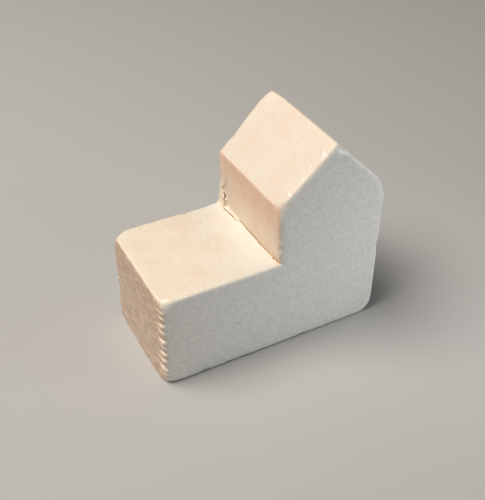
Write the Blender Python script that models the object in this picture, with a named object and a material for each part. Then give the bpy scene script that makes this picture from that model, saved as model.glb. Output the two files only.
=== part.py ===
"""Painted wooden house game piece: a gabled tower with a low annex, milled as one block of wood.

Lengths are in metres. X runs from the annex end to the tower end, Y from the near saw-cut face to
the far one, and Z is up. The origin is under the middle of the piece, on the plane of its base.
"""

import math
from itertools import pairwise

import bmesh
import bpy
from mathutils import Vector

MM = 0.001

# Finished sizes, taken over the paint
LENGTH = 19.8 * MM
DEPTH = 10.0 * MM
RIDGE_HEIGHT = 18.5 * MM
ANNEX_SIDE_EAVES_HEIGHT = 13.9 * MM
TOWER_END_EAVES_HEIGHT = 13.4 * MM
ANNEX_LENGTH = 10.1 * MM
ANNEX_HEIGHT = 8.8 * MM

# Wear from tumbling: how far each rounding reaches along the two faces beside it
MILLED_EDGE_SETBACK = 0.35 * MM
TIP_SETBACK = 0.9 * MM
SAWN_EDGE_RADIUS = 0.35 * MM
INSIDE_CORNER_RADIUS = 0.15 * MM

# Paint: a film over all but the base, split along the inside corner
PAINT_FILM = 0.12 * MM
BOND_GAP = 0.02 * MM
COAT = PAINT_FILM + BOND_GAP
SPLIT_WIDTH = 0.12 * MM
SPLIT_STOP_NEAR = 1.2 * MM
SPLIT_STOP_FAR = 0.5 * MM

# Facets
CORNER_STEPS = 5
SAWN_EDGE_STEPS = 4
TIP_STEPS = 3

# How far a cutter reaches past what it cuts
CUTTER_MARGIN = 1.0 * MM

WOOD_COLOUR = (0.56, 0.36, 0.18, 1.0)
PAINT_COLOUR = (0.83, 0.76, 0.66, 1.0)


def clear_scene():
    for obj in list(bpy.data.objects):
        bpy.data.objects.remove(obj)


def material(name, colour, roughness):
    made = bpy.data.materials.new(name)
    made.use_nodes = True
    shader = made.node_tree.nodes["Principled BSDF"]
    shader.inputs["Base Color"].default_value = colour
    shader.inputs["Roughness"].default_value = roughness
    shader.inputs["Metallic"].default_value = 0.0
    return made


def profile_corners():
    """The sharp corners of the painted profile as (x, z), anticlockwise seen from the near face.

    The base lies one coat below Z = 0, so that the bare wood inside the coat stands on Z = 0.
    """
    left, right = -LENGTH / 2, LENGTH / 2
    step = left + ANNEX_LENGTH
    ridge = (step + right) / 2
    return [
        Vector((left, -COAT)),
        Vector((right, -COAT)),
        Vector((right, TOWER_END_EAVES_HEIGHT)),
        Vector((ridge, RIDGE_HEIGHT)),
        Vector((step, ANNEX_SIDE_EAVES_HEIGHT)),
        Vector((step, ANNEX_HEIGHT)),
        Vector((left, ANNEX_HEIGHT)),
    ]


def rounded_corner(before, corner, after, setback):
    """The arc that rounds one corner, as (point, outward normal) pairs.

    A convex corner is rounded where the wear reaches setback along each face. The one concave
    corner, where the annex meets the tower, keeps its own small radius.
    """
    arriving = (corner - before).normalized()
    leaving = (after - corner).normalized()
    turn = arriving.angle_signed(leaving)
    convex = turn < 0
    half_turn = abs(turn) / 2
    radius = setback / math.tan(half_turn) if convex else INSIDE_CORNER_RADIUS
    side = 1 if convex else -1
    normal = Vector((arriving.y, -arriving.x))
    start = corner - arriving * radius * math.tan(half_turn)
    centre = start - normal * radius * side
    arc = []
    for step in range(CORNER_STEPS + 1):
        angle = -turn * step / CORNER_STEPS
        turned = Vector(
            (
                normal.x * math.cos(angle) - normal.y * math.sin(angle),
                normal.x * math.sin(angle) + normal.y * math.cos(angle),
            )
        )
        arc.append((centre + turned * radius * side, turned))
    return arc


def outline(setback):
    """The whole rounded profile as (point, outward normal) pairs."""
    corners = profile_corners()
    points = []
    for i, corner in enumerate(corners):
        after = corners[(i + 1) % len(corners)]
        points += rounded_corner(corners[i - 1], corner, after, setback)
    return points


def end_stations():
    """(angle of the sawn edge's rounding, distance from the sawn face) of each section near an end."""
    for step in range(SAWN_EDGE_STEPS + 1):
        angle = math.radians(90) * step / SAWN_EDGE_STEPS
        yield angle, SAWN_EDGE_RADIUS * (1 - math.cos(angle))
    worn_length = max(TIP_SETBACK - SAWN_EDGE_RADIUS, 0.1 * MM)
    for step in range(1, TIP_STEPS + 1):
        yield math.radians(90), SAWN_EDGE_RADIUS + worn_length * step / TIP_STEPS


def rounded_prism(name, inset=0.0):
    """The house shape as a closed mesh object, with every face moved inwards by inset."""
    stations = list(end_stations())
    worn_depth = stations[-1][1]
    mesh_builder = bmesh.new()
    near_sections, far_sections = [], []
    for angle, distance in stations:
        fresh = 1 - distance / worn_depth
        setback = MILLED_EDGE_SETBACK + (TIP_SETBACK - MILLED_EDGE_SETBACK) * fresh**2
        shrink = SAWN_EDGE_RADIUS * (1 - math.sin(angle)) + inset * math.sin(angle)
        y = DEPTH / 2 - distance - inset * math.cos(angle)
        section = [point - normal * shrink for point, normal in outline(setback)]
        near_sections.append([mesh_builder.verts.new((p.x, -y, p.y)) for p in section])
        far_sections.append([mesh_builder.verts.new((p.x, y, p.y)) for p in section])
    sections = near_sections + far_sections[::-1]
    mesh_builder.faces.new(sections[0])
    mesh_builder.faces.new(sections[-1][::-1])
    for section, following in pairwise(sections):
        for i, vertex in enumerate(section):
            j = (i + 1) % len(section)
            mesh_builder.faces.new((vertex, following[i], following[j], section[j]))
    bmesh.ops.recalc_face_normals(mesh_builder, faces=mesh_builder.faces)
    return mesh_object(name, mesh_builder)


def box(name, low, high):
    mesh_builder = bmesh.new()
    bmesh.ops.create_cube(mesh_builder, size=1)
    bmesh.ops.scale(mesh_builder, vec=high - low, verts=mesh_builder.verts)
    bmesh.ops.translate(mesh_builder, vec=(low + high) / 2, verts=mesh_builder.verts)
    return mesh_object(name, mesh_builder)


def mesh_object(name, mesh_builder):
    mesh = bpy.data.meshes.new(name)
    mesh_builder.to_mesh(mesh)
    mesh_builder.free()
    mesh.shade_smooth()
    mesh.set_sharp_from_angle(angle=math.radians(40))
    obj = bpy.data.objects.new(name, mesh)
    bpy.context.scene.collection.objects.link(obj)
    return obj


def cut(target, cutter):
    cutter.hide_render = True
    cutter.display_type = "WIRE"
    modifier = target.modifiers.new(f"cut by {cutter.name}", "BOOLEAN")
    modifier.operation = "DIFFERENCE"
    modifier.object = cutter


def below_base():
    """Everything under the plane that the piece stands on."""
    reach = Vector((LENGTH, DEPTH, 0)) / 2 + Vector((CUTTER_MARGIN, CUTTER_MARGIN, 0))
    return box("below_base", -reach - Vector((0, 0, COAT + CUTTER_MARGIN)), reach)


def inside_corner_split():
    """A thin blade along the inside corner, halfway between the annex roof and the tower wall."""
    near = -DEPTH / 2 + SPLIT_STOP_NEAR
    far = DEPTH / 2 - SPLIT_STOP_FAR
    reach = COAT + INSIDE_CORNER_RADIUS + CUTTER_MARGIN / 2
    blade = box(
        "inside_corner_split",
        Vector((-SPLIT_WIDTH / 2, near, -reach)),
        Vector((SPLIT_WIDTH / 2, far, reach)),
    )
    blade.location = (ANNEX_LENGTH - LENGTH / 2, 0, ANNEX_HEIGHT)
    blade.rotation_euler.y = math.radians(-45)
    return blade


def wood_block():
    block = rounded_prism("wood_block", inset=COAT)
    block.data.materials.append(material("bare_wood", WOOD_COLOUR, 0.6))
    return block


def paint_coat():
    coat = rounded_prism("paint_coat")
    coat.data.materials.append(material("white_paint", PAINT_COLOUR, 0.5))
    cut(coat, rounded_prism("inside_of_coat", inset=PAINT_FILM))
    cut(coat, below_base())
    cut(coat, inside_corner_split())
    return coat


clear_scene()
wood_block()
paint_coat()
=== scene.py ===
"""Models, paints and lights a worn wooden house game piece around its CAD frame.

Object coordinates are the CAD frame's, in metres: X from the annex end to the tower end, Y from the
near saw-cut face to the far one, Z up from the base. The wear is carved in millimetres.
"""

import itertools
import math

import bpy
import numpy as np
from mathutils import Matrix, Vector


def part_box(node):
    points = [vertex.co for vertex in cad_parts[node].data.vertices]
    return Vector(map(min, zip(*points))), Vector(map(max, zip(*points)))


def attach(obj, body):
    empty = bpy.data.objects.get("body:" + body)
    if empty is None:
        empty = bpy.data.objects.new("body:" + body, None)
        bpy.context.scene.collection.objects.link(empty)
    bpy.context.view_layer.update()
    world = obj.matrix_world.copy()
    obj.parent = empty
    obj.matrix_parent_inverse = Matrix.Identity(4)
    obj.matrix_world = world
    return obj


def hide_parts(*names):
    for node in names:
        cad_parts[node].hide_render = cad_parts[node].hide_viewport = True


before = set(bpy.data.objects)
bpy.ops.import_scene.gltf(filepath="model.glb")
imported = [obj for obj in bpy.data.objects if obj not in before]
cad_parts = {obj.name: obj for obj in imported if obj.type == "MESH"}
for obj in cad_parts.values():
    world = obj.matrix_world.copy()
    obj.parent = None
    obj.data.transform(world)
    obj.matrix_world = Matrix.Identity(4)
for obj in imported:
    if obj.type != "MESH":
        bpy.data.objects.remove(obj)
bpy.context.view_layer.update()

bl_info = {
    "name": "Wooden house game piece",
    "version": (1, 0, 0),
    "blender": (4, 5, 0),
    "location": "3D View > Sidebar > House",
    "description": "Models and shades a painted wooden house game piece with its wear",
    "category": "Object",
}

MM = 0.001
# Points closer than this count as one
TINY = 0.001 * MM
COAT_LOW, COAT_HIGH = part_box("paint_coat")
WOOD_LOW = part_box("wood_block")[0]


def linear(hex_colour):
    """A colour written as sRGB hex, as linear RGBA."""
    values = [int(hex_colour[i : i + 2], 16) / 255 for i in (1, 3, 5)]
    return *[v / 12.92 if v <= 0.04045 else ((v + 0.055) / 1.055) ** 2.4 for v in values], 1.0


def size(name, description, default):
    return bpy.props.FloatProperty(
        name=name, description=description, default=default, min=0.0, precision=5, unit="LENGTH"
    )


def colour(name, description, hex_colour):
    return bpy.props.FloatVectorProperty(
        name=name, description=description, default=linear(hex_colour), size=4, min=0.0, max=1.0,
        subtype="COLOR",
    )


class HouseShape(bpy.types.PropertyGroup):
    """Finished sizes of the house, as if its edges were sharp."""

    length: size("Length", "Annex end to tower end", COAT_HIGH.x - COAT_LOW.x)
    depth: size("Depth", "Between the saw-cut faces", COAT_HIGH.y - COAT_LOW.y)
    annex_length: size("Annex length", "Annex end to tower wall", 10.1 * MM)
    annex_height: size("Annex height", "Base to annex roof", 8.8 * MM)
    annex_side_eaves: size("Eaves over the annex", "Base to the roof's lower edge", 13.9 * MM)
    tower_end_eaves: size("Eaves at the tower end", "Base to the roof's lower edge", 13.4 * MM)
    ridge_height: size("Ridge height", "Base to the ridge", 18.38 * MM)
    coat: size("Coat", "Paint film and the bond under it", WOOD_LOW.x - COAT_LOW.x)
    bond: size("Bond", "Gap that stands in for the bond", 0.02 * MM)


class HouseWear(bpy.types.PropertyGroup):
    """How finely the pieces are modelled, and how much tumbling wore them."""

    coat_fineness: size("Coat fineness", "Spacing of points on the raw coat", 0.06 * MM)
    wood_fineness: size("Wood fineness", "Spacing of points on the wood", 0.11 * MM)
    edges: size("Edge wear", "Rounding of most edges", 0.30 * MM)
    tips: size("Tip wear", "Rounding where three edges meet", 0.62 * MM)
    coat_faces: bpy.props.IntProperty(
        name="Coat faces", description="Triangles kept on the outside of the coat", default=170000,
        min=1000,
    )


class HouseFinish(bpy.types.PropertyGroup):
    """Colours of the paint and the wood under it."""

    paint: colour("Paint", "White paint along the grain", "#F5E8D4")
    thick_paint: colour("Thick paint", "Paint that ran together", "#E9E7DC")
    sawn_paint: colour("Paint on end grain", "White paint on the saw-cut faces", "#E9E5DC")
    # Also painted shade: on the tower wall this tan grows towards the eaves
    thin_paint: colour("Thin paint", "Paint that the wood shows through", "#E2A582")
    # Darker than the lines' own colour: painted shade that darkens the annex end
    fibre: colour("Fibres", "Dark lines between torn fibres", "#98795E")
    pore: colour("Pores", "Open pores and specks in the paint", "#8F8272")
    # Orange-brown tint along the inside corner, strongest at the near foot of the tower wall
    stain: colour("Stain", "Resin at the foot of the tower wall", "#C98F58")
    early_wood: colour("Early wood", "Pale wood of spring", "#CFA878")
    late_wood: colour("Late wood", "Dark lines of late wood", "#9A6B3E")
    # Darker than the wood's own brown: painted shade inside the narrow cracks
    crack: colour("Crack", "Torn fibres inside a crack", "#4A2E18")


class Studio(bpy.types.PropertyGroup):
    """Floor and lamps."""

    floor: colour("Floor", "Plain pale floor", "#B9B8B6")
    key: bpy.props.FloatProperty(
        name="Key lamp", description="Power of the broad lamp over the annex", default=0.784,
        min=0.0, unit="POWER",
    )
    key_tint: colour("Key tint", "Warm light", "#FFF9F1")
    fill: bpy.props.FloatProperty(
        name="Fill lamp", description="Power of the soft lamp beside the tower", default=0.0021,
        min=0.0, unit="POWER",
    )
    fill_tint: colour("Fill tint", "Cool light", "#E8F3FF")
    room: bpy.props.FloatProperty(
        name="Room light", description="Strength of the even light all round", default=0.02, min=0.0
    )


def deselect_all():
    if bpy.context.object and bpy.context.object.mode != "OBJECT":
        bpy.ops.object.mode_set(mode="OBJECT")
    bpy.ops.object.select_all(action="DESELECT")


def activate(piece):
    deselect_all()
    piece.select_set(True)
    bpy.context.view_layer.objects.active = piece


def select_in_edit_mode(piece, kind, wanted):
    """Leaves edit mode on with just the wanted faces or points of the piece selected."""
    activate(piece)
    bpy.ops.object.mode_set(mode="EDIT")
    bpy.ops.mesh.select_mode(type=kind)
    bpy.ops.mesh.select_all(action="DESELECT")
    bpy.ops.object.mode_set(mode="OBJECT")
    for item in piece.data.polygons if kind == "FACE" else piece.data.vertices:
        item.select = bool(wanted(item))
    bpy.ops.object.mode_set(mode="EDIT")


def apply_modifier(piece, kind, **settings):
    activate(piece)
    modifier = piece.modifiers.new(kind.lower(), kind)
    for name, value in settings.items():
        setattr(modifier, name, value)
    bpy.ops.object.modifier_apply(modifier=modifier.name)


def cut(piece, cutter):
    """Takes the cutter's shape out of the piece, and removes the cutter."""
    apply_modifier(
        piece, "BOOLEAN", operation="DIFFERENCE", object=cutter, solver="MANIFOLD",
        material_mode="TRANSFER",
    )
    bpy.data.objects.remove(cutter)


def duplicate(piece, name):
    activate(piece)
    bpy.ops.object.duplicate()
    made = bpy.context.object
    made.name = name
    made.data.name = name
    return made


def points_of(piece):
    """The piece's points in millimetres, one row each."""
    found = np.empty(len(piece.data.vertices) * 3)
    piece.data.vertices.foreach_get("co", found)
    return found.reshape(-1, 3) / MM


def normals_of(piece):
    found = np.empty(len(piece.data.vertices) * 3)
    piece.data.vertex_normals.foreach_get("vector", found)
    return found.reshape(-1, 3)


def put_points(piece, points):
    piece.data.vertices.foreach_set("co", (points * MM).ravel())
    piece.data.update()


def unit(vector):
    return np.asarray(vector, float) / np.linalg.norm(vector)


def ease(low, high, values):
    """0 below low, 1 above high, and a smooth rise between them."""
    share = np.clip((values - low) / (high - low), 0, 1)
    return share * share * (3 - 2 * share)


def hump(values, middle, reach):
    """1 at the middle, falling off smoothly on both sides."""
    return np.exp(-(((values - middle) / reach) ** 2))


NOISE_VALUES = 4096
# Multipliers that scatter the cells of a lattice over the table of random values
SCATTER = np.array([73856093, 19349663, 83492791])


def lattice_noise(points, spacing, seed):
    """Smooth random values from -1 to 1 that change over the given spacing in millimetres."""
    table = np.random.default_rng(seed).uniform(-1, 1, NOISE_VALUES)
    scaled = points / np.asarray(spacing, float)
    cell = np.floor(scaled).astype(np.int64)
    share = scaled - cell
    share = share * share * (3 - 2 * share)
    total = np.zeros(len(points))
    for corner in itertools.product((0, 1), repeat=3):
        value = table[((cell + corner) @ SCATTER) % NOISE_VALUES]
        total += value * np.prod(np.where(corner, share, 1 - share), axis=1)
    return total


# Number of the corner in the profile where the annex roof meets the tower wall
INSIDE_CORNER = 5


def profile(shape):
    """The sharp profile as (x, z) in millimetres, anticlockwise seen from the near face.

    Its base lies one coat below Z = 0, so that the bare wood inside the coat stands on Z = 0.
    """
    left, right = -shape.length / 2 / MM, shape.length / 2 / MM
    step = left + shape.annex_length / MM
    return np.array(
        [
            (left, -shape.coat / MM),
            (right, -shape.coat / MM),
            (right, shape.tower_end_eaves / MM),
            ((step + right) / 2, shape.ridge_height / MM),
            (step, shape.annex_side_eaves / MM),
            (step, shape.annex_height / MM),
            (left, shape.annex_height / MM),
        ]
    )


def outer_edges(shape):
    """(start, end, outward direction) of each edge that sticks out, in millimetres."""
    corners = profile(shape)
    half = shape.depth / 2 / MM
    along = np.roll(corners, -1, axis=0) - corners
    outward = [unit((a[1], 0, -a[0])) for a in along]
    edges = []
    for i, (x, z) in enumerate(corners):
        if i != INSIDE_CORNER:
            edges.append(((x, -half, z), (x, half, z), unit(outward[i - 1] + outward[i])))
        next_x, next_z = corners[(i + 1) % len(corners)]
        for y in (-half, half):
            facing = unit(outward[i] + (0, math.copysign(1, y), 0))
            edges.append(((x, y, z), (next_x, y, next_z), facing))
    return edges


def sharp_block(name, low, high):
    """A box between two corners given in millimetres."""
    deselect_all()
    low, high = Vector(low) * MM, Vector(high) * MM
    bpy.ops.mesh.primitive_cube_add(size=1, location=(low + high) / 2, scale=high - low)
    block = bpy.context.object
    block.name = name
    bpy.ops.object.transform_apply(location=True, rotation=True, scale=True)
    return block


def move_points(piece, offset, wanted):
    """Moves the wanted points by an offset in millimetres."""
    select_in_edit_mode(piece, "VERT", wanted)
    bpy.ops.transform.translate(value=Vector(offset) * MM)
    bpy.ops.object.mode_set(mode="OBJECT")


# The annex roof falls a little towards the near side: how far it lies under its full height there
# and at the far side, in millimetres
ROOF_FALL = (0.11, 0.03)
# How far the annex runs on into the tower, and how far its far top corner is cut back
ANNEX_OVERLAP = 3
FAR_CORNER_CUT = 0.08


def annex_roof(shape, y):
    """Height of the annex roof at a distance along Y."""
    half = shape.depth / 2 / MM
    return shape.annex_height / MM - np.interp(y, (-half, half), ROOF_FALL)


def sharp_annex(shape):
    """The annex as a box that runs on into the tower, with its far top corner cut back."""
    corners = profile(shape)
    half = shape.depth / 2 / MM
    left, base = corners[0]
    step, roof = corners[INSIDE_CORNER]
    annex = sharp_block("annex", (left, -half, base), (step + ANNEX_OVERLAP, half, roof))
    middle = roof / 2 * MM
    near_fall, far_fall = ROOF_FALL
    move_points(annex, (0, 0, -near_fall), lambda point: point.co.z > middle and point.co.y < 0)
    move_points(annex, (0, 0, -far_fall), lambda point: point.co.z > middle and point.co.y > 0)
    move_points(
        annex,
        (FAR_CORNER_CUT, 0, 0),
        lambda point: point.co.x < 0 and point.co.y > 0 and point.co.z > middle,
    )
    return annex


# The tower wall leans out over the annex: how far off square it is at the base and at the eaves, in
# millimetres along X. Its eaves rise by this much at the near side and at the far side.
WALL_LEAN = (0.45, -0.09)
EAVES_RISE = (0.05, -0.06)


def sharp_tower(shape):
    """The tower as a box, cut across at the ridge and lifted there, with its wall leaning out."""
    corners = profile(shape)
    half = shape.depth / 2 / MM
    (right, base), (_, end_eaves), (ridge_x, ridge_z), (step, eaves) = corners[1:5]
    tower = sharp_block("tower", (step, -half, base), (right, half, eaves))
    select_in_edit_mode(tower, "FACE", lambda face: True)
    bpy.ops.mesh.bisect(plane_co=(ridge_x * MM, 0, 0), plane_no=(1, 0, 0), threshold=TINY)
    bpy.ops.object.mode_set(mode="OBJECT")
    high = eaves / 2 * MM
    past_ridge = (ridge_x + 1) * MM
    before_ridge = (ridge_x - 1) * MM
    move_points(
        tower,
        (0, 0, end_eaves - eaves),
        lambda point: point.co.z > high and point.co.x > past_ridge,
    )
    move_points(
        tower,
        (0, 0, ridge_z - eaves),
        lambda point: point.co.z > high and abs(point.co.x - ridge_x * MM) < TINY,
    )
    base_lean, eaves_lean = WALL_LEAN
    near_rise, far_rise = EAVES_RISE
    for offset, wanted in (
        ((base_lean, 0, 0), lambda point: point.co.z < high),
        ((eaves_lean, 0, far_rise), lambda point: point.co.z > high and point.co.y > 0),
        ((eaves_lean, 0, near_rise), lambda point: point.co.z > high and point.co.y < 0),
    ):
        move_points(tower, offset, lambda point: point.co.x < before_ridge and wanted(point))
    return tower


def remesh(piece, fineness):
    activate(piece)
    piece.data.remesh_voxel_size = fineness
    bpy.ops.object.voxel_remesh()


# Strength of one smoothing pass, and how many of them round an edge by one spacing of the points.
# The number grows with the square of the rounding.
SMOOTHING = 0.5
PASSES = 4.7
WEIGHT_LEVELS = 50


def smooth_by_weight(piece, rounding, fineness, weights):
    """Smooths until a sharp edge has about this rounding where the weight is 1."""
    group = piece.vertex_groups.new(name="worn")
    levels = np.round(weights * WEIGHT_LEVELS)
    for level in np.unique(levels[levels > 0]):
        group.add(np.flatnonzero(levels == level).tolist(), level / WEIGHT_LEVELS, "REPLACE")
    passes = round(PASSES * (rounding / fineness) ** 2)
    apply_modifier(piece, "SMOOTH", factor=SMOOTHING, iterations=passes, vertex_group=group.name)
    piece.vertex_groups.clear()


# Edges worn more or less than the rest: (corner of the profile where it starts, corner where it
# ends, side along Y, rounding in millimetres). Side 0 is an edge along the depth.
ANNEX_WEAR = ((0, 1, -1, 0.55), (6, 0, -1, 0.65), (6, 0, 1, 0.55), (5, 6, -1, 0.30))
TOWER_WEAR = (
    (0, 1, -1, 0.55), (3, 3, 0, 0.55), (4, 4, 0, 0.14), (4, 5, -1, 0.52), (3, 4, -1, 0.50),
)
# Tips: (corner of the profile, side along Y, share of the tip wear)
ANNEX_TIPS = ((0, -1, 1.4), (0, 1, 1.0), (6, -1, 1.4), (6, 1, 1.6))
TOWER_TIPS = (
    (1, -1, 1.5), (1, 1, 1.0), (2, -1, 1.2), (2, 1, 1.0), (3, -1, 1.0), (3, 1, 0.95), (4, -1, 1.4),
    (4, 1, 0.5),
)
# Distances in millimetres over which the wear of such an edge or tip fades to that of the rest
EDGE_FADE = (0.6, 1.5)
TIP_FADE = (0.4, 1.5)


def distance_to(points, start, end):
    """Distance of each point from a straight edge."""
    along = np.subtract(end, start)
    share = np.clip((points - start) @ along / (along @ along), 0, 1)
    return np.linalg.norm(points - start - np.outer(share, along), axis=1)


def tumble(block, shape, wear, fineness, rounder_edges, tips):
    """Rounds the edges unevenly, and the tips most, as tumbling does."""
    remesh(block, fineness)
    corners = profile(shape)
    half = shape.depth / 2 / MM
    points = points_of(block)
    rounding = wear.edges / MM * (0.9 + 0.2 * lattice_noise(points, 2.5, 3))
    for first, last, side, amount in rounder_edges:
        start = (corners[first][0], half * (side or -1), corners[first][1])
        end = (corners[last][0], half * (side or 1), corners[last][1])
        close = 1 - ease(*EDGE_FADE, distance_to(points, start, end))
        rounding += (amount - rounding) * close
    for corner, side, share in tips:
        x, z = corners[corner]
        close = 1 - ease(*TIP_FADE, np.linalg.norm(points - (x, half * side, z), axis=1))
        rounding = np.maximum(rounding, wear.tips / MM * share * close)
    most = rounding.max()
    smooth_by_weight(block, most * MM, fineness, (rounding / most) ** 2)


def worn_house(name, shape, wear, fineness):
    """The worn house. Annex and tower are tumbled apart, to keep the corner between them crisp."""
    house = sharp_annex(shape)
    tumble(house, shape, wear, fineness, ANNEX_WEAR, ANNEX_TIPS)
    tower = sharp_tower(shape)
    tumble(tower, shape, wear, fineness, TOWER_WEAR, TOWER_TIPS)
    activate(house)
    tower.select_set(True)
    bpy.ops.object.join()
    house.name = name
    house.data.name = name
    remesh(house, fineness)
    apply_modifier(house, "SMOOTH", factor=SMOOTHING, iterations=3)
    wear_down(house, shape)
    return house


# Tear-out on the annex end: where the saw left the wood, fibres broke off in short hooks that wrap
# round the upright edge. Each is (height, depth) in millimetres.
NEAR_HOOKS = (
    (7.75, 0.06), (7.1, 0.10), (6.35, 0.13), (5.6, 0.10), (4.75, 0.16), (4.05, 0.09), (3.35, 0.15),
    (2.6, 0.13), (1.75, 0.15), (1.1, 0.06),
)
FAR_HOOKS = ((6.4, 0.03), (4.15, 0.11), (1.7, 0.03))

# Chips out of edges: (x, y, z, reach, depth) in millimetres
CHIPS = (
    (-6.4, -5.0, 0.0, 0.35, 0.10),
    (-4.2, -5.0, 0.0, 0.28, 0.08),
    (-1.0, -5.0, 0.0, 0.30, 0.04),
    (2.8, -5.0, 0.0, 0.30, 0.08),
    (6.1, -5.0, 0.0, 0.28, 0.07),
    (9.9, -5.0, 11.4, 0.35, 0.05),
    (9.9, -5.0, 7.4, 0.40, 0.06),
    (-3.3, 5.0, 8.8, 0.30, 0.09),
    (-2.4, 5.0, 8.8, 1.80, 0.09),
    (-6.2, 5.0, 8.8, 0.40, 0.04),
    (1.35, 5.0, 15.0, 0.30, 0.06),
    (-9.9, 5.0, 3.2, 0.75, 0.10),
    (0.35, -4.9, 11.0, 0.28, 0.04),
    (0.35, -4.9, 10.1, 0.22, 0.05),
    (0.35, -4.9, 9.5, 0.20, -0.04),
)

# Splinter at the far end of the tower wall: (height, its near edge along Y, how far it stands off)
# in millimetres
SPLINTER = (
    (8.7, 3.95, 0.40),
    (9.1, 3.90, 0.35),
    (9.5, 3.85, 0.31),
    (9.9, 4.25, 0.23),
    (10.4, 4.42, 0.18),
    (10.8, 4.15, 0.14),
    (11.2, 3.85, 0.10),
    (12.5, 4.05, 0.08),
    (13.3, 4.40, 0.06),
    (14.0, 4.70, 0.02),
)


def hooks(points, normals, shape, near_side):
    """Height of the tear-out along one upright edge of the annex end.

    Each hook is a groove beside a raised lip. It tilts and wanders a little, and fades away from
    the edge.
    """
    half = shape.depth / 2 / MM
    side = -1 if near_side else 1
    from_edge = half - side * points[:, 1]
    on_end = ease(-8.9, -9.35, points[:, 0]) * (1 - ease(0.8, 1.0, side * normals[:, 1]))
    height = np.zeros(len(points))
    for i, (z, depth) in enumerate(NEAR_HOOKS if near_side else FAR_HOOKS):
        wander = 0.12 * lattice_noise(points * (0, 1, 0), 0.5, 40 + i)
        tilt = (0.15 + 0.25 * math.sin(9 * i)) * np.minimum(from_edge, 1)
        above = points[:, 2] - z - wander - tilt
        reach = 0.65 + 0.25 * math.sin(5 * i)
        along = hump(np.maximum(from_edge - 0.3, 0), 0, reach)
        stroke = hump(above, 0.15, 0.15) - 0.7 * hump(above, -0.10, 0.11)
        height -= depth * stroke * along
    return height * on_end


def from_inside_corner(points, shape):
    """Distance of each point from the corner between the annex roof and the tower wall."""
    step, height = profile(shape)[INSIDE_CORNER]
    foot = step + np.interp(height, (0, shape.annex_side_eaves / MM), WALL_LEAN)
    return np.hypot(points[:, 0] - foot, points[:, 2] - annex_roof(shape, points[:, 1]))


def splinter(points, shape):
    """How far the splinter stands off the tower wall."""
    step, annex_top = profile(shape)[INSIDE_CORNER]
    x, y, z = points.T
    heights, near_edge, off = np.transpose(SPLINTER)
    wander = 0.05 * lattice_noise(points * (0, 0, 1), 0.35, 71)
    across = ease(0, 0.14, y - np.interp(z, heights, near_edge) - wander)
    uneven = 0.12 + 0.3 * (1 - ease(annex_top, annex_top + 1.2, z))
    streaks = 1 + uneven * lattice_noise(points * (0, 1, 1), (1, 0.16, 2.0), 72)
    on_wall = ease(step - 0.8, step, x) * (1 - ease(step + 0.3, step + 1.2, x))
    on_wall *= ease(annex_top - 0.9, annex_top - 0.1, z)
    return np.interp(z, heights, off) * streaks * across * on_wall


# The far end of the roof, in millimetres: how full it is on the annex side, and how far its ridge
# lies towards the annex
ROOF_FULLNESS = 0.10
RIDGE_STRAY = 0.18
# Dents along edges: how many per millimetre, and how deep and how broad they are at most
DENTS_PER_MM = 0.9
DENT_DEPTH = 0.045
DENT_BREADTH = 0.45
# Ridge of wood pushed up along the far foot of the tower wall: height and breadth
FOOT_HEIGHT = 0.16
FOOT_BREADTH = 0.22


def wear_down(house, shape):
    """Carves the wear that the wood and the paint share."""
    points = points_of(house)
    normals = normals_of(house)
    half = shape.depth / 2 / MM

    # The fullness and the stray fade in towards the far end of the roof and its ridge.
    full = ease(15.2, 16.6, points[:, 2]) * (1 - ease(18.0, 18.7, points[:, 2]))
    full *= ease(half - 1.2, half - 0.2, points[:, 1]) * (1 - ease(4.7, 6.5, points[:, 0]))
    points += normals * (ROOF_FULLNESS * full)[:, None]
    astray = ease(half - 1.8, half - 0.2, points[:, 1]) * ease(16.6, 18.0, points[:, 2])
    points[:, 0] -= RIDGE_STRAY * astray

    generator = np.random.default_rng(11)
    for start, end, outward in outer_edges(shape):
        start, end = np.array(start), np.array(end)
        length = np.linalg.norm(end - start)
        along = (points - start) @ ((end - start) / length)
        off = np.linalg.norm(points - start - np.outer(along, (end - start) / length), axis=1)
        beside = hump(off, 0, DENT_BREADTH)
        dent = np.zeros(len(points))
        for _ in range(round(length * DENTS_PER_MM)):
            place = generator.uniform(0, length)
            reach = generator.uniform(0.2, 0.9)
            depth = DENT_DEPTH * generator.uniform(-0.35, 1) ** 3
            dent += depth * hump(along, place, reach)
        points -= np.outer(dent * beside, outward)
    for x, y, z, reach, depth in CHIPS:
        close = hump(np.linalg.norm(points - (x, y, z), axis=1), 0, reach)
        points -= normals * (depth * close)[:, None]
    height = hooks(points, normals, shape, True) + hooks(points, normals, shape, False)
    points += normals * height[:, None]

    at_foot = hump(from_inside_corner(points, shape), 0, FOOT_BREADTH)
    foot = FOOT_HEIGHT * ease(3.6, 4.3, points[:, 1]) * at_foot
    points += normals * foot[:, None]
    points[:, 0] -= splinter(points, shape)
    put_points(house, points)


def on_annex_end(points, normals):
    """How far each point is on the annex end, where the fibres show most."""
    return ease(0.6, 0.95, -normals[:, 0]) * (points[:, 0] < -9)


# Fine and coarse fibres: their width, length and width again, in millimetres along X, Y and Z
FINE_FIBRES = (0.13, 3.0, 0.13)
COARSE_FIBRES = (0.4, 6.0, 0.4)


def fibre_relief(points, normals):
    """Height of the wood's fibres under the paint, on the milled faces."""
    fine = lattice_noise(points, FINE_FIBRES, 21)
    coarse = lattice_noise(points, COARSE_FIBRES, 22)
    milled = 1 - ease(0.3, 0.8, abs(normals[:, 1]))
    ends = ease(0.75, 0.95, abs(normals[:, 0]))
    strength = 0.0025 + 0.002 * ends + 0.003 * on_annex_end(points, normals)
    return milled * strength * (fine + 0.3 * coarse)


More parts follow.
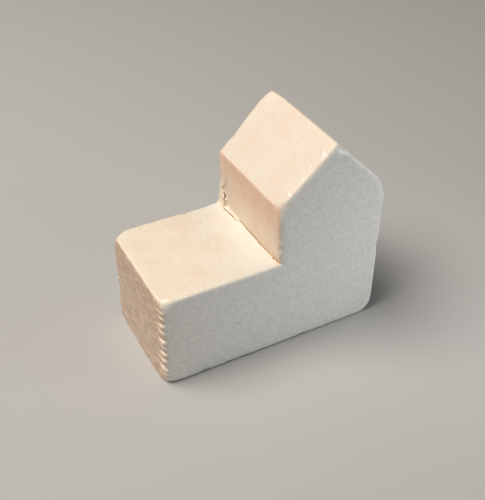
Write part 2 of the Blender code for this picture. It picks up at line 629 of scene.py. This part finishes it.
# Flat spots in the paint on edges, which catch the light: (x, y, z, reach) in millimetres, and the
# direction that each faces
ROOF_FACING = (-0.51, -0.33, 0.79)
ANNEX_FACING = (-0.35, -0.32, 0.88)
FLATS = (
    (4.09, -4.48, 17.50, 0.31, ROOF_FACING),
    (3.84, -4.60, 17.22, 0.13, ROOF_FACING),
    (4.22, -4.26, 17.66, 0.12, ROOF_FACING),
    (3.09, -4.30, 16.60, 0.22, ROOF_FACING),
    (2.28, -4.56, 15.80, 0.18, ROOF_FACING),
    (1.20, -4.58, 14.80, 0.22, ROOF_FACING),
    (-9.42, -4.50, 8.60, 0.18, ANNEX_FACING),
    (-9.15, -4.58, 8.63, 0.18, ANNEX_FACING),
    (-7.60, -4.68, 8.66, 0.11, ANNEX_FACING),
)

# Paint that gathered in the far part of the inside corner: thickness and breadth in millimetres
GATHERED_PAINT = 0.13
GATHERED_BREADTH = 0.18


def paint_relief(coat, shape):
    """Shapes what only the paint shows: fibres, waves, a filled inside corner, flats on edges."""
    points = points_of(coat)
    normals = normals_of(coat)
    height = fibre_relief(points, normals)
    height += 0.004 * lattice_noise(points, 0.9, 31) + 0.006 * lattice_noise(points, 2.5, 32)
    gathered = ease(1.2, 2.0, points[:, 1]) * (1 - 0.6 * ease(4.3, 4.8, points[:, 1]))
    in_corner = hump(from_inside_corner(points, shape), 0, GATHERED_BREADTH)
    height += GATHERED_PAINT * gathered * in_corner
    points += normals * height[:, None]
    for *middle, reach, facing in FLATS:
        off = np.linalg.norm(points - middle, axis=1)
        middle = points[np.argmin(off)]
        close = 1 - ease(0.6 * reach, reach, off)
        points -= np.outer(close * ((points - middle) @ unit(facing)), unit(facing))
    put_points(coat, points)


# Share of the wood's faces that is kept, and how close to the base, in millimetres, a point is set
# flat on it
WOOD_KEPT = 0.12
BASE_SNAP = 0.02


class WoodBlock(bpy.types.Operator):
    """Model the worn wood under the paint, bare at its base"""

    bl_idname = "house.wood_block"
    bl_label = "Wood block"

    def execute(self, context):
        shape, wear = context.scene.house_shape, context.scene.house_wear
        block = worn_house("worn_wood_block", shape, wear, wear.wood_fineness)
        # Fine dents go, so that the surface can move in by the coat's thickness without a fold.
        apply_modifier(block, "SMOOTH", factor=SMOOTHING, iterations=6)
        apply_modifier(block, "DISPLACE", mid_level=0.0, strength=-shape.coat)
        remesh(block, wear.wood_fineness)
        apply_modifier(block, "DECIMATE", ratio=WOOD_KEPT)
        points = points_of(block)
        points[points[:, 2] < BASE_SNAP, 2] = 0
        put_points(block, points)
        block.data.shade_smooth()
        block.data.materials.clear()
        block.data.materials.append(bare_wood(context.scene.house_finish))
        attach(block, "root")
        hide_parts("wood_block")
        return {"FINISHED"}


# Cracks and pits in the paint: (points along it, direction into the piece, width) in millimetres
CRACKS = (
    (((-0.10, 3.95, 8.80), (-0.03, 2.85, 8.80), (0.02, 1.55, 8.80)), (0.75, 0, -1), 0.085),
    (
        (
            (0.25, 1.75, 8.82), (0.3, 0.9, 8.77), (0.3, -0.4, 8.73), (0.3, -1.6, 8.72),
            (0.3, -3.5, 8.73),
        ),
        (1, 0, -1),
        0.06,
    ),
    (((0.3, -3.95, 8.74), (0.3, -4.2, 8.75)), (1, 0, -1), 0.07),
    (((0.33, -4.4, 8.78), (0.36, -4.6, 8.78)), (1, 0, -1), 0.07),
    (((0.1, 3.87, 11.65), (0.1, 3.80, 10.85)), (1, 0, 0), 0.035),
    (((0.0, 4.43, 10.50), (0.0, 4.46, 10.36)), (1, 0, 0), 0.05),
    (((0.0, 4.34, 10.0), (0.0, 4.10, 9.75), (0.0, 3.88, 9.4)), (1, 0, 0), 0.045),
    (((3.63, -5.0, 13.10), (3.72, -5.0, 13.10)), (0, 1, 0), 0.035),
    (((3.09, -5.0, 13.00), (3.16, -5.0, 13.02)), (0, 1, 0), 0.035),
    (((4.06, -5.0, 2.80), (4.15, -5.0, 2.82)), (0, 1, 0), 0.055),
    (((-3.50, -5.0, 4.03), (-3.05, -5.0, 4.17)), (0, 1, 0), 0.03),
)
CRACK_STEPS = 40
# How deep a crack's blade is, how far its middle lies under the surface, and how far it strays to
# the sides, in millimetres
BLADE_DEPTH = 0.7
BLADE_INSET = 0.05
BLADE_STRAY = 0.03
FIRST_CRACK_SEED = 60


def crack_blade(path, into, width, seed):
    """A thin ragged blade that follows a crack and narrows towards its ends."""
    deselect_all()
    bpy.ops.mesh.primitive_grid_add(x_subdivisions=CRACK_STEPS, y_subdivisions=1, size=1)
    blade = bpy.context.object
    apply_modifier(blade, "SOLIDIFY", thickness=1.0, offset=0.0)
    # The raw blade is one metre long, deep and wide about the origin.
    share, deep, wide = (points_of(blade) * MM).T
    share = share + 0.5
    path = np.array(path)
    lengths = np.concatenate([[0], np.cumsum(np.linalg.norm(np.diff(path, axis=0), axis=1))])
    reach = share * lengths[-1]
    centre = np.stack([np.interp(reach, lengths, path[:, k]) for k in range(3)], axis=1)
    into = unit(into)
    sideways = unit(np.cross(path[-1] - path[0], into))
    ragged = lattice_noise(np.outer(reach, (1, 0, 0)), 0.22, seed)
    broad = width * (0.15 + np.sqrt(np.clip(4 * share * (1 - share), 0, 1))) * (1 + 0.4 * ragged)
    stray = BLADE_STRAY * lattice_noise(np.outer(reach, (1, 0, 0)), 0.5, seed + 1)
    points = centre + np.outer(deep * BLADE_DEPTH + BLADE_INSET, into)
    points += np.outer(wide * broad + stray, sideways)
    put_points(blade, points)
    return blade


# Edges in the paint sharper than this, as those of cracks, are not shaded smooth
SHARP_ANGLE = math.radians(50)


class PaintCoat(bpy.types.Operator):
    """Model the worn paint coat around the wood block"""

    bl_idname = "house.paint_coat"
    bl_label = "Paint coat"

    def execute(self, context):
        shape, wear = context.scene.house_shape, context.scene.house_wear
        finish = context.scene.house_finish
        coat = worn_house("worn_paint_coat", shape, wear, wear.coat_fineness)
        paint_relief(coat, shape)
        raw_triangles = 2 * len(coat.data.polygons)
        apply_modifier(coat, "DECIMATE", ratio=wear.coat_faces / raw_triangles)
        select_in_edit_mode(coat, "FACE", lambda face: True)
        # With any threshold, a face that grazes the base would be left behind as a loose flake.
        bpy.ops.mesh.bisect(
            plane_co=(0, 0, 0), plane_no=(0, 0, 1), threshold=0, clear_inner=True, use_fill=True
        )
        bpy.ops.object.mode_set(mode="OBJECT")
        coat.data.materials.clear()
        coat.data.materials.append(satin_paint(finish))
        hollow = duplicate(bpy.data.objects["worn_wood_block"], "inside_of_coat")
        hollow.data.materials.clear()
        hollow.data.materials.append(coat.data.materials[0])
        apply_modifier(hollow, "DISPLACE", mid_level=0.0, strength=shape.bond)
        cut(coat, hollow)
        # The crack walls get dark torn fibres, darkened as painted shade of the slit
        torn = torn_fibres(finish)
        for i, crack in enumerate(CRACKS):
            blade = crack_blade(*crack, FIRST_CRACK_SEED + 2 * i)
            blade.data.materials.append(torn)
            cut(coat, blade)
        select_in_edit_mode(coat, "FACE", lambda face: True)
        bpy.ops.mesh.remove_doubles(threshold=TINY)
        bpy.ops.object.mode_set(mode="OBJECT")
        bpy.ops.object.shade_smooth_by_angle(angle=SHARP_ANGLE)
        mark_paint(coat, shape)
        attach(coat, "root")
        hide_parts("paint_coat")
        return {"FINISHED"}


def mark_paint(coat, shape):
    """Marks where the paint is thinly laid, thick, streaked, tinted, glossy or scratched, from 0 to
    1, with painted shade on the tower wall.
    """
    points = points_of(coat)
    normals = normals_of(coat)
    step, annex_top = profile(shape)[INSIDE_CORNER]
    x, y, z = points.T

    # Places: the annex end and roof, the tower roof and wall, and the gathered paint's lip
    annex_end = on_annex_end(points, normals)
    on_annex = ease(0.8, 0.95, normals[:, 2]) * (x < step)
    on_roof = ease(0.3, 0.6, -normals[:, 0]) * ease(0.5, 0.65, normals[:, 2])
    on_wall = ease(0.5, 0.9, -normals[:, 0]) * (1 - ease(0.25, 0.5, normals[:, 2]))
    on_wall *= (abs(x - step) < 0.6) * (z > annex_top - 0.3)
    off_splinter = np.clip(1 - 4 * splinter(points, shape), 0.2, 1)
    corner = from_inside_corner(points, shape)
    lip = ease(1.2, 1.8, y) * hump(corner, 0, 0.4)

    # The wood shows through as tan in the grooves where fibres tore out, on the annex end, the roof
    # and the tower wall. On that wall the tan is partly painted shade that darkens towards the
    # eaves. An orange-brown tint runs along the inside corner and is strongest at the near foot of
    # that wall.
    torn = np.clip(-2 * hooks(points, normals, shape, True), 0, 0.2)
    patchy = 0.6 + 0.4 * lattice_noise(points, (0.4, 0.5, 0.4), 51)
    stain = on_wall * patchy * hump(corner, 0, 0.6) * (0.12 + 0.4 * (1 - ease(-4.0, 0.0, y)))
    stain += 0.25 * hump(corner, 0, 0.10) * (1 - lip)
    thin_and_wall_shade = torn + on_wall * off_splinter * (1 - lip) * (0.13 + 0.33 * ease(9.5, 13.0, z))
    thin_and_wall_shade += annex_end * (0.26 + 0.07 * ease(4.0, 7.5, z)) + 0.15 * on_roof
    glossy = np.zeros(len(points))
    for *middle, reach, _ in FLATS:
        off = np.linalg.norm(points - middle, axis=1)
        glossy = np.maximum(glossy, 1 - ease(0.8 * reach, 1.2 * reach, off))
    marks = {
        "thin_paint": thin_and_wall_shade,
        "thick_paint": 0.6 * on_roof + on_annex * hump(x, step, 3.6),
        "streaked": 0.85 * annex_end + 0.08 * on_wall + 0.10 * on_annex * hump(x, -3.4, 2.4),
        "stain": stain,
        "glossy": glossy,
        "scratched": on_wall * ease(0.3, 1.5, y) * ease(10.2, 11.3, z) * (1 - ease(12.7, 13.4, z)),
    }
    for name, values in marks.items():
        mark = coat.data.attributes.new(name, "FLOAT", "POINT")
        mark.data.foreach_set("value", np.clip(values, 0, 1))


def add(tree, kind, inputs=None, **settings):
    """Adds a node with its settings, and links or sets its inputs."""
    made = tree.nodes.new("ShaderNode" + kind)
    for name, value in settings.items():
        setattr(made, name, value)
    for socket, value in (inputs or {}).items():
        if isinstance(value, bpy.types.NodeSocket):
            tree.links.new(value, made.inputs[socket])
        else:
            made.inputs[socket].default_value = value
    return made


def new_material(name):
    made = bpy.data.materials.new(name)
    made.use_nodes = True
    return made, made.node_tree, made.node_tree.nodes["Principled BSDF"]


# Sizes of the patterns in millimetres. Those along the grain are (width, length).
PAINT_FIBRES = (0.14, 4)
TORN_LINES = (0.058, 1.1)
VESSELS = (0.3, 1.1)
MOTTLES = 2
CLOUDS = 0.5
# Drawn a little coarser than in the real paint, so that it shows
SPECKLE = 0.13
WOOD_FIBRES = (0.16, 5)
GROWTH_RING = 1.3
CRACK_FIBRES = (0.06, 0.6)
# Height in metres of the relief that is too fine for the mesh
FINE_RELIEF = 0.02 * MM


def along_grain(width, length):
    """The scale that makes a pattern this wide, and this long along Y, in millimetres."""
    return 1 / (width * MM), 1 / (length * MM), 1 / (width * MM)


def on_sawn_faces(tree, place):
    """How far a place is on a saw-cut face, as a node output."""
    facing = add(tree, "SeparateXYZ", {0: add(tree, "NewGeometry").outputs["Normal"]})
    sideways = add(tree, "Math", {0: facing.outputs["Y"]}, operation="ABSOLUTE").outputs[0]
    sawn = add(
        tree, "MapRange", {0: sideways, 1: 0.55, 2: 0.9}, interpolation_type="SMOOTHSTEP"
    ).outputs[0]
    depth = add(tree, "SeparateXYZ", {0: place}).outputs["Y"]
    depth = add(tree, "Math", {0: depth}, operation="ABSOLUTE").outputs[0]
    outside = add(tree, "MapRange", {0: depth, 1: 4.4 * MM, 2: 4.6 * MM}).outputs[0]
    return add(tree, "Math", {0: sawn, 1: outside}, operation="MULTIPLY").outputs[0]


def open_pores(tree, place):
    """Vessels of the wood: short dashes along the grain, round dots where the saw cut them."""
    vessel_space = add(
        tree, "VectorMath", {0: place, 1: along_grain(*VESSELS)}, operation="MULTIPLY"
    ).outputs[0]
    vessels = add(tree, "TexVoronoi", {"Vector": vessel_space, "Scale": 1.0})
    dots = add(
        tree, "MapRange", {0: vessels.outputs["Distance"], 1: 0.10, 2: 0.28, 3: 1.0, 4: 0.0},
        interpolation_type="SMOOTHSTEP",
    ).outputs[0]
    open_ones = add(
        tree, "MapRange", {0: vessels.outputs["Color"], 1: 0.35, 2: 0.65},
        interpolation_type="SMOOTHSTEP",
    ).outputs[0]
    return add(tree, "Math", {0: dots, 1: open_ones}, operation="MULTIPLY").outputs[0]


def satin_paint(finish):
    """Thin white paint that dried satin on milled wood.

    It shows the fibres under it as fine streaks along the grain, is mottled where the wood drank it
    unevenly, and is glossy on flat spots along edges. Its dark lines are partly painted shade on
    the annex end, and its tan on the tower wall is partly painted shade, darker towards the eaves.
    On the saw-cut faces it is whiter, cloudy and speckled with open pores.
    """
    made, tree, shader = new_material("satin_white_paint_on_milled_wood")
    place = add(tree, "TexCoord").outputs["Object"]
    sawn = on_sawn_faces(tree, place)
    milled = add(tree, "Math", {0: 1.0, 1: sawn}, operation="SUBTRACT").outputs[0]
    thin_and_wall_shade, thick, streaked, stained, glossy, scratched = [
        add(tree, "Attribute", attribute_name=name).outputs["Fac"]
        for name in ("thin_paint", "thick_paint", "streaked", "stain", "glossy", "scratched")
    ]

    fibre_space = add(
        tree, "VectorMath", {0: place, 1: along_grain(*PAINT_FIBRES)}, operation="MULTIPLY"
    ).outputs[0]
    fibres = add(
        tree, "TexNoise", {"Vector": fibre_space, "Scale": 1.0, "Detail": 3.0, "Roughness": 0.6}
    ).outputs[0]
    line_space = add(
        tree, "VectorMath", {0: place, 1: along_grain(*TORN_LINES)}, operation="MULTIPLY"
    ).outputs[0]
    torn_lines = add(
        tree, "TexNoise", {"Vector": line_space, "Scale": 1.0, "Detail": 1.0}
    ).outputs[0]
    mottles = add(
        tree,
        "TexNoise",
        {"Vector": place, "Scale": 1 / (MOTTLES * MM), "Detail": 3.0, "Roughness": 0.55},
    ).outputs[0]
    clouds = add(
        tree, "TexNoise", {"Vector": place, "Scale": 1 / (CLOUDS * MM), "Detail": 2.0}
    ).outputs[0]
    speckle = add(
        tree, "TexNoise", {"Vector": place, "Scale": 1 / (SPECKLE * MM), "Detail": 2.0}
    ).outputs[0]
    pores = add(
        tree, "Math", {0: open_pores(tree, place), 1: sawn}, operation="MULTIPLY"
    ).outputs[0]
    scratches = add(tree, "MapRange", {0: fibres, 1: 0.57, 2: 0.65}).outputs[0]
    scratches = add(tree, "Math", {0: scratches, 1: scratched}, operation="MULTIPLY").outputs[0]

    # Colour: paint by thickness and face, then the wood through it with painted shade high on the
    # tower wall, lines with painted shade on the annex end, the orange-brown tint, scratches, pores
    shade = add(
        tree, "Mix", {0: thick, 6: finish.paint, 7: finish.thick_paint}, data_type="RGBA"
    ).outputs[2]
    shade = add(
        tree, "Mix", {0: sawn, 6: shade, 7: finish.sawn_paint}, data_type="RGBA"
    ).outputs[2]
    streaks = add(
        tree, "MapRange", {0: fibres, 1: 0.48, 2: 0.74}, interpolation_type="SMOOTHSTEP"
    ).outputs[0]
    bare = add(tree, "Math", {0: streaks, 1: 0.07, 2: thin_and_wall_shade}, operation="MULTIPLY_ADD").outputs[0]
    mottled = add(tree, "MapRange", {0: mottles, 1: 0.42, 2: 0.72, 3: 0.0, 4: 0.16}).outputs[0]
    flecks = add(tree, "MapRange", {0: speckle, 1: 0.55, 2: 0.68, 3: 0.0, 4: 0.3}).outputs[0]
    mottled = add(
        tree, "Math", {0: flecks, 1: mottled, 2: mottled}, operation="MULTIPLY_ADD"
    ).outputs[0]
    bare = add(tree, "Math", {0: bare, 1: mottled}, operation="ADD").outputs[0]
    bare = add(tree, "Math", {0: bare, 1: milled}, operation="MULTIPLY", use_clamp=True).outputs[0]
    # The tan of the wood through the paint; on the tower wall it is partly painted shade, darker
    # towards the eaves
    shade = add(
        tree, "Mix", {0: bare, 6: shade, 7: finish.thin_paint}, data_type="RGBA"
    ).outputs[2]
    # Dark lines between the fibres, darker than their own colour as painted shade on the annex end
    dark_lines_and_end_shade = add(
        tree, "MapRange", {0: torn_lines, 1: 0.42, 2: 0.61, 3: 0.0, 4: 0.85}
    ).outputs[0]
    dark_lines_and_end_shade = add(tree, "Math", {0: dark_lines_and_end_shade, 1: streaked}, operation="MULTIPLY").outputs[0]
    shade = add(
        tree, "Mix", {0: dark_lines_and_end_shade, 6: shade, 7: finish.fibre}, data_type="RGBA"
    ).outputs[2]
    shade = add(
        tree, "Mix", {0: stained, 6: shade, 7: finish.stain}, data_type="RGBA"
    ).outputs[2]
    pale = add(tree, "Math", {0: scratches, 1: 0.9}, operation="MULTIPLY").outputs[0]
    shade = add(tree, "Mix", {0: pale, 6: shade, 7: finish.paint}, data_type="RGBA").outputs[2]
    pored = add(tree, "Math", {0: pores, 1: 0.36}, operation="MULTIPLY").outputs[0]
    shade = add(tree, "Mix", {0: pored, 6: shade, 7: finish.pore}, data_type="RGBA").outputs[2]
    cloudy = add(tree, "MapRange", {0: clouds, 1: 0.35, 2: 0.65, 3: 0.96, 4: 1.03}).outputs[0]
    shade = add(
        tree, "Mix", {0: sawn, 6: shade, 7: cloudy}, data_type="RGBA", blend_type="MULTIPLY"
    ).outputs[2]
    grains = add(tree, "MapRange", {0: speckle, 1: 0.3, 2: 0.7, 3: 0.89, 4: 1.07}).outputs[0]
    grained = add(tree, "MapRange", {0: thick, 3: 1.0, 4: 0.3}).outputs[0]
    shade = add(
        tree, "Mix", {0: grained, 6: shade, 7: grains}, data_type="RGBA", blend_type="MULTIPLY"
    ).outputs[2]
    tree.links.new(shade, shader.inputs["Base Color"])

    # Roughness: satin, duller where the wood shows through and glossier on the flats
    rough = add(tree, "MapRange", {0: mottles, 1: 0.3, 2: 0.7, 3: 0.36, 4: 0.48}).outputs[0]
    rough = add(tree, "Math", {0: bare, 1: 0.2, 2: rough}, operation="MULTIPLY_ADD").outputs[0]
    rough = add(tree, "Math", {0: glossy, 1: -0.14, 2: rough}, operation="MULTIPLY_ADD").outputs[0]
    tree.links.new(rough, shader.inputs["Roughness"])

    # Relief too fine for the mesh: fibres, torn lines, speckle, pores and scratches
    relief = add(tree, "Math", {0: fibres, 1: milled}, operation="MULTIPLY").outputs[0]
    torn = add(tree, "Math", {0: torn_lines, 1: streaked}, operation="MULTIPLY").outputs[0]
    for height, share in ((torn, -2.0), (speckle, 0.6), (pores, -0.6), (scratches, 2.5)):
        relief = add(
            tree, "Math", {0: height, 1: share, 2: relief}, operation="MULTIPLY_ADD"
        ).outputs[0]
    bump = add(
        tree, "Bump", {"Height": relief, "Strength": 0.5, "Distance": FINE_RELIEF}
    ).outputs[0]
    tree.links.new(bump, shader.inputs["Normal"])
    return made


def bare_wood(finish):
    """Beech, sanded flat: growth rings about a pith far below, and fine fibres along Y."""
    made, tree, shader = new_material("bare_sanded_beech")
    place = add(tree, "TexCoord").outputs["Object"]
    from_pith = add(
        tree,
        "Mapping",
        {"Vector": place, "Location": (9 * MM, 0, 26 * MM), "Rotation": (0.03, 0, 0)},
    ).outputs[0]
    # A wave texture of scale 1 has rings 0.31 wide.
    rings = add(
        tree,
        "TexWave",
        {"Vector": from_pith, "Scale": 0.31 / (GROWTH_RING * MM), "Distortion": 3.0, "Detail": 2.0},
        wave_type="RINGS",
        rings_direction="Y",
        wave_profile="SAW",
    ).outputs["Fac"]
    fibre_space = add(
        tree, "VectorMath", {0: place, 1: along_grain(*WOOD_FIBRES)}, operation="MULTIPLY"
    ).outputs[0]
    fibres = add(
        tree, "TexNoise", {"Vector": fibre_space, "Scale": 1.0, "Detail": 3.0, "Roughness": 0.6}
    ).outputs[0]
    dark = add(tree, "MapRange", {0: rings, 1: 0.3, 2: 1.0, 3: 0.0, 4: 0.55}).outputs[0]
    dark = add(tree, "Math", {0: fibres, 1: 0.45, 2: dark}, operation="MULTIPLY_ADD").outputs[0]
    dark = add(tree, "Math", {0: dark, 1: 0.15}, operation="SUBTRACT", use_clamp=True).outputs[0]
    shade = add(
        tree, "Mix", {0: dark, 6: finish.early_wood, 7: finish.late_wood}, data_type="RGBA"
    ).outputs[2]
    tree.links.new(shade, shader.inputs["Base Color"])
    rough = add(tree, "MapRange", {0: fibres, 1: 0.3, 2: 0.7, 3: 0.5, 4: 0.65}).outputs[0]
    tree.links.new(rough, shader.inputs["Roughness"])
    bump = add(
        tree, "Bump", {"Height": fibres, "Strength": 0.5, "Distance": FINE_RELIEF}
    ).outputs[0]
    tree.links.new(bump, shader.inputs["Normal"])
    return made


def torn_fibres(finish):
    """Broken wood fibres inside a crack, dull and streaked along the grain, and dark as painted
    shade of the narrow slit.
    """
    made, tree, shader = new_material("torn_wood_fibres_and_painted_crack_shade")
    place = add(tree, "TexCoord").outputs["Object"]
    fibre_space = add(
        tree, "VectorMath", {0: place, 1: along_grain(*CRACK_FIBRES)}, operation="MULTIPLY"
    ).outputs[0]
    fibres = add(tree, "TexNoise", {"Vector": fibre_space, "Scale": 1.0, "Detail": 2.0}).outputs[0]
    shade = add(
        tree, "Mix", {0: fibres, 6: finish.crack, 7: finish.late_wood}, data_type="RGBA"
    ).outputs[2]
    tree.links.new(shade, shader.inputs["Base Color"])
    shader.inputs["Roughness"].default_value = 0.8
    return made


# The camera, fitted to the edges of the piece
CAMERA_PLACE = Vector((-26.13, -47.88, 49.84)) * MM
CAMERA_AIM = Vector((-0.79, -0.90, 7.77)) * MM
CAMERA_ROLL = math.radians(0.29)
CAMERA_LENS = 59.8
# Lamps: (direction from the piece, distance and width in metres, spread), and where they are aimed
KEY_LAMP = (Vector((-0.44, 0.10, 0.89)), 0.25, 0.2, math.pi)
FILL_LAMP = (Vector((0.75, -0.65, 0.05)), 0.062, 0.02, math.radians(60))
LAMP_AIM = Vector((0, 0, 8 * MM))
# Width of the floor in metres, and its gap to the base, so that the two don't share a plane
FLOOR_SIZE = 1.5
FLOOR_GAP = 0.01 * MM


def lamp(name, direction, distance, width, spread, power, tint):
    """A round soft lamp that lights the piece and is not seen itself."""
    data = bpy.data.lights.new(name, "AREA")
    data.shape = "DISK"
    data.size = width
    data.spread = spread
    data.energy = power
    data.color = tint
    made = bpy.data.objects.new(name, data)
    bpy.context.scene.collection.objects.link(made)
    made.location = LAMP_AIM + direction.normalized() * distance
    made.rotation_euler = direction.to_track_quat("Z", "Y").to_euler()
    made.visible_camera = False


class Stage(bpy.types.Operator):
    """Set the piece on a plain pale floor under soft lamps, in front of the camera"""

    bl_idname = "house.stage"
    bl_label = "Stage"

    def execute(self, context):
        scene, studio = context.scene, context.scene.house_studio
        deselect_all()
        bpy.ops.mesh.primitive_plane_add(size=FLOOR_SIZE, location=(0, 0, -FLOOR_GAP))
        floor = bpy.context.object
        floor.name = "floor"
        plain, _, shader = new_material("plain_floor")
        shader.inputs["Base Color"].default_value = studio.floor
        shader.inputs["Roughness"].default_value = 0.9
        floor.data.materials.append(plain)
        lamp("key_lamp", *KEY_LAMP, studio.key, studio.key_tint[:3])
        lamp("fill_lamp", *FILL_LAMP, studio.fill, studio.fill_tint[:3])
        room = bpy.data.worlds.new("room")
        room.use_nodes = True
        light = room.node_tree.nodes["Background"]
        light.inputs["Strength"].default_value = studio.room
        light.inputs["Color"].default_value = (1, 1, 1, 1)
        scene.world = room
        data = bpy.data.cameras.new("camera")
        data.lens = CAMERA_LENS
        data.clip_start = 1 * MM
        data.clip_end = 10
        camera = bpy.data.objects.new("camera", data)
        scene.collection.objects.link(camera)
        aim = (CAMERA_AIM - CAMERA_PLACE).to_track_quat("-Z", "Y").to_matrix()
        camera.matrix_world = (
            Matrix.Translation(CAMERA_PLACE) @ (aim @ Matrix.Rotation(CAMERA_ROLL, 3, "Z")).to_4x4()
        )
        scene.camera = camera
        scene.view_settings.view_transform = "Standard"
        return {"FINISHED"}


class HousePanel(bpy.types.Panel):
    """Lists the steps and their settings"""

    bl_idname = "HOUSE_PT_steps"
    bl_label = "House game piece"
    bl_space_type = "VIEW_3D"
    bl_region_type = "UI"
    bl_category = "House"

    def draw(self, context):
        for step in STEPS:
            self.layout.operator(step.bl_idname)
        for name, group in SETTINGS.items():
            column = self.layout.column(heading=group.__name__)
            for setting in group.__annotations__:
                column.prop(getattr(context.scene, name), setting)


SETTINGS = {
    "house_shape": HouseShape,
    "house_wear": HouseWear,
    "house_finish": HouseFinish,
    "house_studio": Studio,
}
STEPS = (WoodBlock, PaintCoat, Stage)


def register():
    for cls in (*SETTINGS.values(), *STEPS, HousePanel):
        bpy.utils.register_class(cls)
    for name, cls in SETTINGS.items():
        setattr(bpy.types.Scene, name, bpy.props.PointerProperty(type=cls))


def unregister():
    for name in SETTINGS:
        delattr(bpy.types.Scene, name)
    for cls in (HousePanel, *reversed(STEPS), *reversed(SETTINGS.values())):
        bpy.utils.unregister_class(cls)


def main():
    register()
    bpy.ops.house.wood_block()
    bpy.ops.house.paint_coat()
    bpy.ops.house.stage()


if __name__ == "__main__":
    main()
